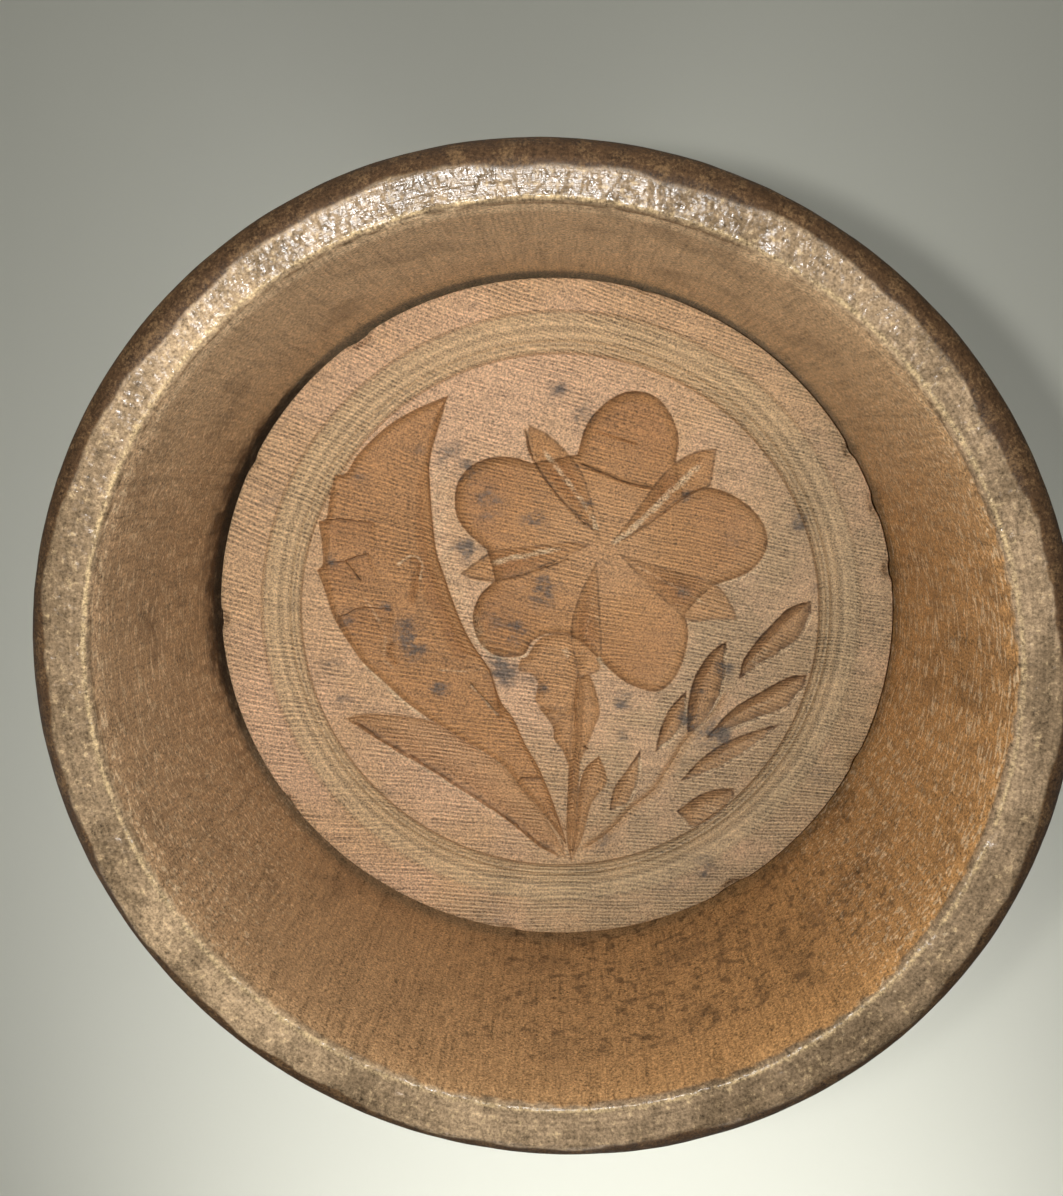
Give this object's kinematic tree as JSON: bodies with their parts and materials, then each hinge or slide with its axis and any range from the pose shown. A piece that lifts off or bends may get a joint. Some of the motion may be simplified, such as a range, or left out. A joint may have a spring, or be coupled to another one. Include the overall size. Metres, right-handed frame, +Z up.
{
  "type": "butter stamp",
  "caption": "Turned wooden butter mould: a round case with a rounded lip, a carved flower print that slides inside it, and a plunger handle with a knob that screws into the print.",
  "frame": {"origin": "centre of the knob's flat end, on the surface that the mould stands on", "axes": "+Z up along the turned axis, from the knob to the mouth; +Y towards the top of the carved motif; +X to its right, seen from the mouth"},
  "size_m": [0.133, 0.133, 0.187],
  "materials": {
    "case_wood": "worn, waxy old sycamore",
    "print_wood": "dry, scrubbed sycamore with the grain showing",
    "handle_wood": "handled, dark sycamore"
  },
  "bodies": {
    "handle": {"handle": "handle_wood"},
    "case": {"case": "case_wood"},
    "print": {"print": "print_wood"}
  },
  "joints": [
    {"name": "case_slide", "type": "slide", "parent": "handle", "child": "case", "axis": [0, 0, -1], "range_m": [0, 0.05]},
    {"name": "print_turn", "type": "hinge", "parent": "handle", "child": "print", "pos_m": [0, 0, 0.119], "axis": [0, 0, 1], "range_deg": [0, 1260]}
  ]
}
